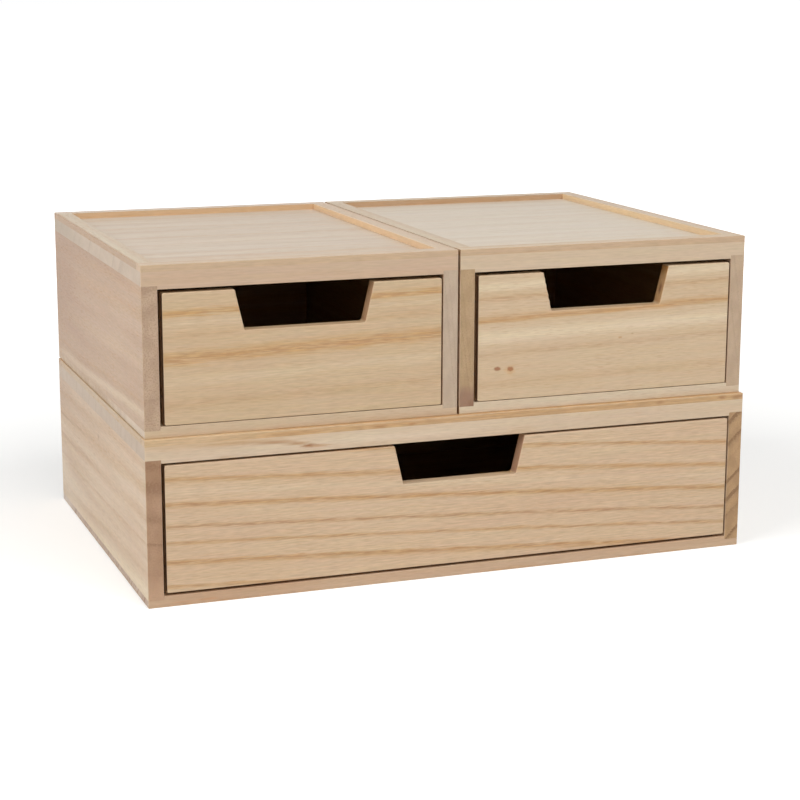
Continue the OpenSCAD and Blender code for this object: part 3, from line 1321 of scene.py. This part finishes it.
    def brad(self, head: Vector, play: float) -> Workpiece:
        """Turns one brad that points to the right.

        Args:
            head: middle of its head's face.
            play: how much wider and deeper to make it, for a hole.

        Returns:
            The brad.
        """
        shank, cap = self.brad_shank / 2 + play, self.brad_head / 2 + play
        under, tip = self.brad_head_height + play, self.brad_length + play
        if play:
            face = [(-self.RUN_OUT, 0.0), (-self.RUN_OUT, cap)]
            point = 0.0
        else:
            middle, shoulder, rim = self.brad_dome
            flat = [(middle, 0.0), (middle, self.FLAT_SHARE * cap)]
            face = [*flat, (shoulder, cap - self.brad_rim), (rim, cap)]
            point = self.brad_point
        profile = [*face, (under, cap), (under, shank), (tip - point, shank), (tip, 0.0)]
        outline = [head + Vector((x, 0, radius)) * MM for x, radius in profile]
        return Workpiece.turning(outline, Vector((1, 0, 0)))


# ---- Finishes of this stack ----

PAULOWNIA = WoodFinish()

PLAIN = replace(PAULOWNIA, body="d4b793", shade="c3a283")
DRAWER_BOX = replace(PAULOWNIA, body="c9aa84", shade="be9c74", end="b8966f")
FRONT = replace(
    PAULOWNIA, end="a98765", end_line="8c6747", tilt=0.4, waver=0.25, banding=0.45, line="a3734a",
)
LEFT_FACE = replace(PAULOWNIA, slope=0.03, banding=0.9, fibre=0.3, waver=2.0, pores=0.3)
HIDDEN_FACE = replace(PAULOWNIA, body="cdb299", shade="c3a386", tilt=1.0, waver=1.0)


def front_ends(notch: float, colour: str, *others: Mark) -> tuple[Mark, ...]:
    """Marks a front's left end with painted shade for the gap beside the drawer, the left end of its notch,
    and smaller stains there.
    """
    # Painted shade: the left end face is darkened so that the gap beside the drawer looks deep in shadow.
    painted_gap_shade = Mark((0.0, 32.0, 4.0), (20.0, 60.0, 20.0), "644630", 0.9, 0.3)
    return painted_gap_shade, Mark((notch, 56.0, 3.0), (20.0, 26.0, 12.0), colour, 0.95, 0.3), *others


def low_face(
    colour: str, along: float = 80.0, across: float = -1.5, strength: float = 0.75, soft: float = 0.3,
) -> tuple[Mark, ...]:
    """Marks the whole face at a rim strip's low side with another colour; on the right strips' inner walls
    it is a painted highlight.
    """
    return (Mark((along, across, 1.6), (400.0, 3.0, 9.0), colour, strength, soft),)


LOWER_WOODS = {
    "plain": PLAIN,
    "box": DRAWER_BOX,
    "drawer_front": replace(
        FRONT,
        body="d2b695", shade="cdab8b", slope=0.0585, bow=0.9, fibre=0.4, pores=0.5,
        rings=(
            Ring(4.2, 0.7, 0.4, under=2.0), Ring(16.8, 0.75, 0.6, under=3.4, over=1.4),
            Ring(26.4, 0.6, 0.6, 0.1, under=1.6, over=1.4),
            Ring(34.7, 0.4, 0.7, 0.4, under=1.6, over=1.9),
            Ring(46.0, 0.8, 0.6, under=2.6, over=2.1), Ring(52.5, 0.0, 0.0, 0.0, 0.2, 3.0, 3.0),
            Ring(58.8, 0.7, 0.4, under=2.6, over=2.1), Ring(71.5, 0.7, 0.55, under=2.6, over=1.2),
        ),
        end_marks=front_ends(190.0, "c3987a"),
    ),
    "bottom_board": replace(
        PAULOWNIA,
        body="caac8e", shade="bf9d80", end="c7b09b", golden=0.5, spacing=5.0, tilt=1.0,
        marks=(
            Mark((45.0, 0.0, 3.0), (90.0, 5.0, 14.0), "b58a66", 0.4, 1.0),
            Mark((30.0, 0.0, 2.0), (9.0, 5.0, 0.9), "c08a5c", 0.5, 0.8),
            Mark((17.0, 0.0, 1.8), (8.0, 5.0, 0.7), "c08a5c", 0.35, 0.8),
        ),
        end_marks=(Mark((0.0, 225.0, 4.0), (20.0, 70.0, 20.0), "e2d2c4", 0.6, 1.0),),
    ),
    "top_board": replace(
        PAULOWNIA,
        body="d4bda2", shade="ceb293", end="c0aa94", end_line="b1987f", golden=0.3, dark=0.15,
        marks=(
            Mark((30.0, 0.0, 8.5), (60.0, 6.0, 4.0), "c9a881", 0.7, 0.9),
            Mark((120.0, 0.0, 4.5), (90.0, 6.0, 3.0), "e0cdb3", 0.5, 1.0),
            Mark((50.0, 0.0, 7.2), (30.0, 5.0, 1.5), "b48857", 0.6, 1.0),
            Mark((66.0, 0.0, 6.0), (16.0, 5.0, 1.3), "a5743f", 0.7, 1.0),
            Mark((77.0, 0.0, 4.6), (11.0, 5.0, 1.2), "a5743f", 0.8, 1.0),
            Mark((88.0, 0.0, 2.6), (12.0, 5.0, 1.2), "b48453", 0.7, 1.0),
            Mark((83.5, 0.0, 3.2), (6.0, 4.0, 1.4), "95602f", 0.9, 1.0),
        ),
    ),
    "rim_front": replace(
        PAULOWNIA,
        body="c6a174", shade="b88c5c", end="b99c79", golden=0.6, spacing=4.0, tilt=2.0,
        fibre=0.5, pores=0.8,
        marks=(
            Mark((20.0, 4.0, 1.5), (62.0, 12.0, 6.0), "ceb08a", 0.8, 0.8),
            Mark((75.0, 0.0, 1.0), (22.0, 4.0, 1.4), "b98a55", 0.5, 1.0),
            Mark((121.0, 0.0, 0.9), (6.0, 3.0, 1.1), "a8703e", 0.6, 1.0),
            Mark((138.5, 0.0, 1.0), (3.5, 3.0, 1.0), "a8703e", 0.6, 1.0),
            Mark((280.0, 0.0, 1.7), (4.0, 4.0, 1.6), "a3754a", 0.6, 1.0),
            Mark((317.0, 0.0, 1.6), (4.0, 4.0, 1.8), "9c6d44", 0.7, 1.0),
            Mark((327.0, 0.0, 1.6), (6.0, 5.0, 2.5), "a0744c", 0.7, 1.0),
        ),
    ),
    "rim_back": replace(PAULOWNIA, body="caa67c", shade="bc9263", end="be9f7c"),
    "rim_left": replace(PAULOWNIA, body="c0a889", shade="b59876"),
    "rim_right": replace(PAULOWNIA, body="c0a889", shade="b59876"),
    "left_side": replace(
        LEFT_FACE,
        body="d3ba9e", shade="c8aa8b", end="b38e6f", end_line="936e51",
        tilt=0.08, end_rings=2.2, speckle=0.5,
        rings=(
            Ring(3.0, 0.0, 0.0, 0.0, 0.75, 6.0, 8.0), Ring(13.0, 0.1, 0.1, 0.1, under=2.0, over=5.0),
            Ring(22.0, 0.0, 0.1, 0.15, under=6.0, over=8.0), Ring(29.5, 0.2, 0.3, 0.1, under=3.0, over=3.0),
            Ring(42.0, 0.15, 0.2, 0.1, under=5.0, over=6.0), Ring(58.0, 0.25, 0.2, under=8.0, over=6.0),
            Ring(69.0, 0.2, 0.2, under=5.0, over=4.0),
        ),
        marks=(
            # Painted shade: the left face is darkened towards its upper back, where less light falls.
            Mark((230.0, 66.0, 0.0), (185.0, 31.0, 9.0), "a37b58", 0.65, 1.0),
            Mark((235.0, 14.0, 0.0), (115.0, 22.0, 9.0), "e6d4bc", 0.55, 1.0),
            Mark((205.0, 49.9, 0.0), (38.0, 1.2, 9.0), "a07a58", 0.6, 0.8),
            Mark((165.0, 51.3, 0.0), (36.0, 1.2, 9.0), "a57f5d", 0.5, 0.9),
            Mark((132.0, 53.0, 0.0), (22.0, 1.8, 9.0), "b08c6c", 0.4, 1.0),
            Mark((195.0, 37.2, 0.0), (46.0, 1.8, 9.0), "ad8968", 0.5, 1.0),
            Mark((148.0, 39.2, 0.0), (36.0, 2.0, 9.0), "b39073", 0.4, 1.0),
            Mark((198.0, 26.0, 0.0), (42.0, 2.0, 9.0), "b8957a", 0.4, 1.0),
            Mark((111.0, 58.7, 0.0), (4.0, 2.6, 5.0), "a37c5a", 0.6, 1.0),
            Mark((97.0, 55.5, 0.0), (1.6, 3.2, 5.0), "ab8564", 0.5, 1.0),
            Mark((91.0, 55.5, 0.0), (1.6, 3.4, 5.0), "ab8564", 0.5, 1.0),
            Mark((84.0, 56.0, 0.0), (1.6, 3.2, 5.0), "ab8564", 0.4, 1.0),
        ),
        end_marks=(
            Mark((0.0, 0.0, 4.0), (20.0, 22.0, 30.0), "c8a284", 0.6, 1.0),
            Mark((0.0, 68.0, 4.0), (20.0, 20.0, 30.0), "8c6440", 0.5, 1.0),
        ),
    ),
    "right_side": replace(
        PAULOWNIA, body="d6c0a7", shade="cbaf93", end="ba956b", end_line="896540", slope=0.04, tilt=-1.0,
        spacing=11.0, golden=0.7, dark=0.2, end_rings=1.0, speckle=0.3,
    ),
}

UPPER_LEFT_WOODS = {
    "plain": PLAIN,
    "box": DRAWER_BOX,
    "drawer_front": replace(
        FRONT,
        body="cbb08d", shade="c6a783", slope=-0.031,
        rings=(
            Ring(9.4, 0.1, 0.1, 0.25, under=4.5, over=4.5), Ring(21.5, 0.0, 0.0, 0.0, 0.25, 5.0, 4.0),
            Ring(32.4, 0.8, 0.5, under=5.5, over=7.0), Ring(43.5, 0.15, 0.1, 0.05, under=2.5, over=3.0),
            Ring(50.3, 0.0, 0.0, 0.0, 0.25, 3.0, 2.0), Ring(54.5, 0.85, 0.5, under=3.8, over=3.6),
        ),
        end_marks=front_ends(106.0, "c39a75"),
        fray=5.0, gold="c89e68", fibre=0.33, tint=(0.06, 0.09, 0.16),
    ),
    "bottom_board": replace(
        PAULOWNIA, body="cdb596", shade="c6aa8b", end="c4a988", end_rings=0.3,
        end_marks=(Mark((0.0, 20.0, 4.0), (20.0, 90.0, 20.0), "e2d2bf", 0.5, 1.0),),
    ),
    "top_board": replace(
        PAULOWNIA, body="cab9a5", shade="bda791", end="c1aa92", end_line="ad957b", golden=0.3, dark=0.2,
        spacing=21.0, slope=0.01, tilt=1.0, waver=4.0,
        marks=(Mark((80.0, -1.5, 4.0), (400.0, 3.0, 40.0), "c7a789", 0.75, 0.3),),
        end_marks=(Mark((0.0, 220.0, 4.0), (20.0, 130.0, 20.0), "a08c74", 0.6, 1.0),),
    ),
    "rim_front": replace(
        PAULOWNIA, body="cab59a", shade="bfa389", end="c9ab8a", end_line="bc9b78", spacing=5.0, tilt=1.5,
        fibre=0.35, marks=low_face("c3a482"),
    ),
    "rim_back": replace(
        PAULOWNIA, body="d1c0ad", shade="c4ab97", marks=low_face("d2a874", 75.0, -2.0, soft=0.4),
    ),
    "rim_left": replace(
        PAULOWNIA, body="c8b79e", shade="bfa88d", marks=low_face("a98460", 150.0, -1.5, 0.85, 0.4),
    ),
    "rim_right": replace(
        # Painted highlight: the inner wall that faces the side lamp is painted pale and bright.
        PAULOWNIA, body="cab196", shade="c1a588", marks=low_face("f7d2a4", 100.0, -2.0, 0.95, 0.5),
    ),
    "left_side": replace(
        LEFT_FACE,
        body="bb9b7d", shade="b28e6e", end="c1a489", end_line="9b7d64",
        tilt=-0.3, end_rings=0.7, speckle=0.7,
        rings=(
            Ring(8.0, 0.0, 0.0, 0.0, 0.45, 4.5, 3.5), Ring(13.5, 0.2, 0.3, 0.1, under=2.0, over=2.5),
            Ring(22.0, 0.0, 0.1, 0.15, under=5.0, over=6.0), Ring(33.0, 0.1, 0.0, 0.0, 0.15, 5.0, 6.0),
            Ring(45.0, 0.0, 0.1, 0.2, under=6.0, over=7.0), Ring(58.0, 0.2, 0.2, 0.1, under=6.0, over=6.0),
            Ring(69.0, 0.3, 0.2, 0.1, under=5.0, over=4.0),
        ),
        marks=(
            # Painted shade: the left face is darkened towards the back, where less light falls.
            Mark((235.0, 45.0, 0.0), (185.0, 90.0, 9.0), "9e7757", 0.85, 1.0),
            Mark((130.0, 75.0, 0.0), (175.0, 22.0, 9.0), "9d7757", 0.65, 1.0),
        ),
    ),
    "right_side": replace(
        HIDDEN_FACE, end="c2ac94", end_line="a8907c", climb=0.1, spacing=3.5, end_rings=0.5, speckle=0.25,
    ),
}

UPPER_RIGHT_WOODS = {
    "plain": PLAIN,
    "box": DRAWER_BOX,
    "drawer_front": replace(
        FRONT,
        body="d0b695", shade="ccaf8c", slope=-0.027, pores=0.55,
        rings=(
            Ring(8.0, 0.15, 0.1, 0.1, under=4.0, over=4.0), Ring(23.9, 0.05, 0.2, 0.2, under=3.0, over=3.0),
            Ring(32.9, 0.0, 0.0, 0.0, 0.75, 6.0, 6.5), Ring(41.6, 0.85, 0.35, under=2.8, over=4.2),
            Ring(53.0, 0.25, 0.3, 0.2, under=3.5, over=2.5), Ring(58.9, 0.0, 0.0, 0.0, 0.7, 3.5, 4.5),
        ),
        marks=(
            Mark((17.8, 15.4, 0.0), (4.2, 3.6, 6.0), "cf9f6b", 0.55, 0.8),
            Mark((10.9, 16.5, 0.0), (2.5, 1.5, 6.0), "98603a", 0.9, 0.6),
            Mark((18.2, 16.0, 0.0), (2.3, 1.8, 6.0), "9b6337", 0.9, 0.6),
            Mark((80.9, 28.8, 0.0), (1.8, 0.9, 6.0), "b98b5c", 0.7, 0.8),
            Mark((88.0, 30.4, 0.0), (1.2, 0.6, 6.0), "a98058", 0.5, 0.8),
        ),
        end_marks=front_ends(
            106.0, "c99e70",
            Mark((108.0, 65.0, 4.0), (9.0, 7.0, 9.0), "a87334", 0.8, 0.8),
            Mark((106.0, 53.0, 3.5), (9.0, 4.5, 2.2), "7a4a34", 0.8, 1.0),
        ),
    ),
    "bottom_board": replace(PAULOWNIA, body="d6c4aa", shade="ceb799"),
    "top_board": replace(
        PAULOWNIA, body="d0c2af", shade="c8b7a1", end="cebca6", golden=0.12, dark=0.1, spacing=24.0,
        tilt=1.0, pores=0.25, waver=4.0,
        marks=(Mark((80.0, -1.5, 4.0), (400.0, 3.0, 40.0), "cdb292", 0.75, 0.3),),
    ),
    "rim_front": replace(
        PAULOWNIA, body="cab699", shade="c0a88a", spacing=5.0, tilt=1.5,
        fibre=0.35, marks=low_face("c2a180"),
    ),
    "rim_back": replace(
        PAULOWNIA, body="ccbaa1", shade="c2aa8f", marks=low_face("b07c46", 75.0, -2.0, 0.8, 0.6),
    ),
    "rim_left": replace(PAULOWNIA, body="c6b297", shade="bca386"),
    "rim_right": replace(
        # Painted highlight: the inner wall that faces the side lamp is painted pale and bright.
        PAULOWNIA, body="c7b096", shade="bea488", marks=low_face("fbdcae", 100.0, -2.0, 0.95, 0.5),
    ),
    "left_side": replace(
        HIDDEN_FACE, end="b89974", end_line="977952", climb=0.12, spacing=3.0, end_rings=0.6,
        end_marks=(
            Mark((0.0, 0.0, 4.0), (20.0, 13.0, 30.0), "8f6a54", 0.85, 0.5),
            Mark((0.0, 1.0, 6.5), (4.0, 4.0, 2.5), "80583a", 0.6, 0.8),
        ),
    ),
    "right_side": replace(
        HIDDEN_FACE, end="c1a68a", end_line="a78d73", climb=0.15, spacing=4.0, end_rings=0.4, speckle=0.3,
    ),
}


# ---- Studio ----


@dataclass(frozen=True)
class Softbox:
    """A large square lamp that faces the drawers.

    Attributes:
        name: the lamp's name.
        azimuth: where it stands, in degrees from the front towards the right.
        elevation: how high, in degrees.
        distance: how far away, in metres.
        size: length of its side, in metres.
        power: its power in watts.
    """

    name: str
    azimuth: float
    elevation: float
    distance: float
    size: float
    power: float

    def hang(self, target: Vector) -> None:
        """Hangs the lamp.

        Args:
            target: the point that it faces.
        """
        lamp = bpy.data.lights.new(self.name, "AREA")
        lamp.shape = "SQUARE"
        lamp.size = self.size
        lamp.energy = self.power
        made = bpy.data.objects.new(self.name, lamp)
        bpy.context.scene.collection.objects.link(made)
        turn, rise = math.radians(self.azimuth), math.radians(self.elevation)
        away = Vector((math.sin(turn) * math.cos(rise), -math.cos(turn) * math.cos(rise), math.sin(rise)))
        made.location = target + away * self.distance
        made.rotation_euler = away.to_track_quat("Z", "Y").to_euler()


@dataclass(frozen=True)
class Camera:
    """The camera, by where it stands and the way it looks.

    Attributes:
        place: where it stands, in millimetres.
        yaw: how far it looks to the right of straight back, in degrees.
        pitch: how far it looks up, in degrees.
        roll: how far it leans, in degrees.
        focal: its focal length, in widths of the sensor.
    """

    place: tuple[float, float, float] = (-371.77, -1023.76, 310.55)
    yaw: float = 20.343
    pitch: float = -12.418
    roll: float = 0.169
    focal: float = 2.46555

    def set_up(self) -> None:
        """Makes the camera the scene's."""
        data = bpy.data.cameras.new("camera")
        data.lens = self.focal * data.sensor_width
        made = bpy.data.objects.new("camera", data)
        bpy.context.scene.collection.objects.link(made)
        turn = Matrix.Rotation(math.radians(-self.yaw), 4, "Z")
        tip = Matrix.Rotation(math.radians(90 + self.pitch), 4, "X")
        lean = Matrix.Rotation(math.radians(self.roll), 4, "Z")
        made.matrix_world = Matrix.Translation(Vector(self.place) * MM) @ turn @ tip @ lean
        bpy.context.scene.camera = made


@dataclass
class Studio:
    """The white studio: floor, light and camera.

    Attributes:
        ambient: strength of the soft light from above.
        dome: heights between which that light grows, from 0 at the horizon to 1 overhead.
        floor_size: side of the floor, in metres.
        floor_tone: colour of the floor as the object sees it.
        glow: light that the floor adds for the camera near the object and far away, to show as white.
        glow_reach: distances between which the glow grows, in metres.
        softboxes: the lamps.
    """

    ambient: float = 0.3
    dome: tuple[float, float] = (0.35, 0.75)
    floor_size: float = 30.0
    floor_tone: str = "e3e3e1"
    glow: tuple[float, float] = (0.4, 1.0)
    glow_reach: tuple[float, float] = (0.2, 1.2)
    softboxes: tuple[Softbox, ...] = (
        Softbox("side_softbox", -75.0, 35.0, 2.2, 1.6, 30.0),
        Softbox("front_softbox", 20.0, 46.0, 2.2, 1.6, 30.0),
    )

    def build(self) -> None:
        """Builds the studio round the finished drawers."""
        scene = bpy.context.scene
        scene.view_settings.view_transform = "Standard"
        self.floor()
        self.world()
        centre = (CAD_LOW + CAD_HIGH) / 2
        for softbox in self.softboxes:
            softbox.hang(centre)
        Camera().set_up()

    def floor(self) -> None:
        """Lays a pale floor that shows white to the camera and still keeps the object's shadow."""
        piece = Workpiece()
        bmesh.ops.create_grid(piece.bm, x_segments=1, y_segments=1, size=self.floor_size / 2)
        made = piece.finished("studio_floor")
        made.data.materials.append(self.floor_material())

    def floor_material(self) -> Material:
        """Builds the floor's material.

        Returns:
            The material.
        """
        bench = NodeBench(bpy.data.materials.new("studio_floor"))
        paint = bench.node("BsdfDiffuse", tone(self.floor_tone))
        near, far = self.glow
        away = bench.length(bench.node("TexCoord").outputs["Object"])
        glow = bench.math("ADD", bench.rise(away, *self.glow_reach, far - near), near)
        lit = bench.node("AddShader", paint.outputs[0], bench.node("Emission", WHITE, glow).outputs[0])
        return bench.close(bench.choice(bench.seen(), paint, lit))

    def world(self) -> None:
        """Sets the light from all round, and the white that the camera sees behind the object."""
        bench = NodeBench(bpy.data.worlds.new("studio_world"))
        direction = bench.node("SeparateXYZ", bench.node("TexCoord").outputs["Generated"])
        strength = bench.rise(direction.outputs[2], *self.dome, self.ambient)
        light, white = bench.node("Background", WHITE, strength), bench.node("Background", WHITE)
        bpy.context.scene.world = bench.close(bench.choice(bench.seen(), light, white))


def main() -> None:
    """Builds the three units and the studio."""
    logging.basicConfig(level=logging.INFO, format="%(message)s")
    stack = {
        "lower": (LOWER_WOODS, FingerCutout(left_corner=1.0)),
        "upper_left": (UPPER_LEFT_WOODS, FingerCutout(left_corner=0.5)),
        "upper_right": (UPPER_RIGHT_WOODS, FingerCutout(left_corner=0.7, torn=0.35)),
    }
    for unit, (woods, cutout) in stack.items():
        Carcass(unit, woods).build()
        Drawer(unit, woods, cutout).build()
    Studio().build()


if __name__ == "__main__":
    main()
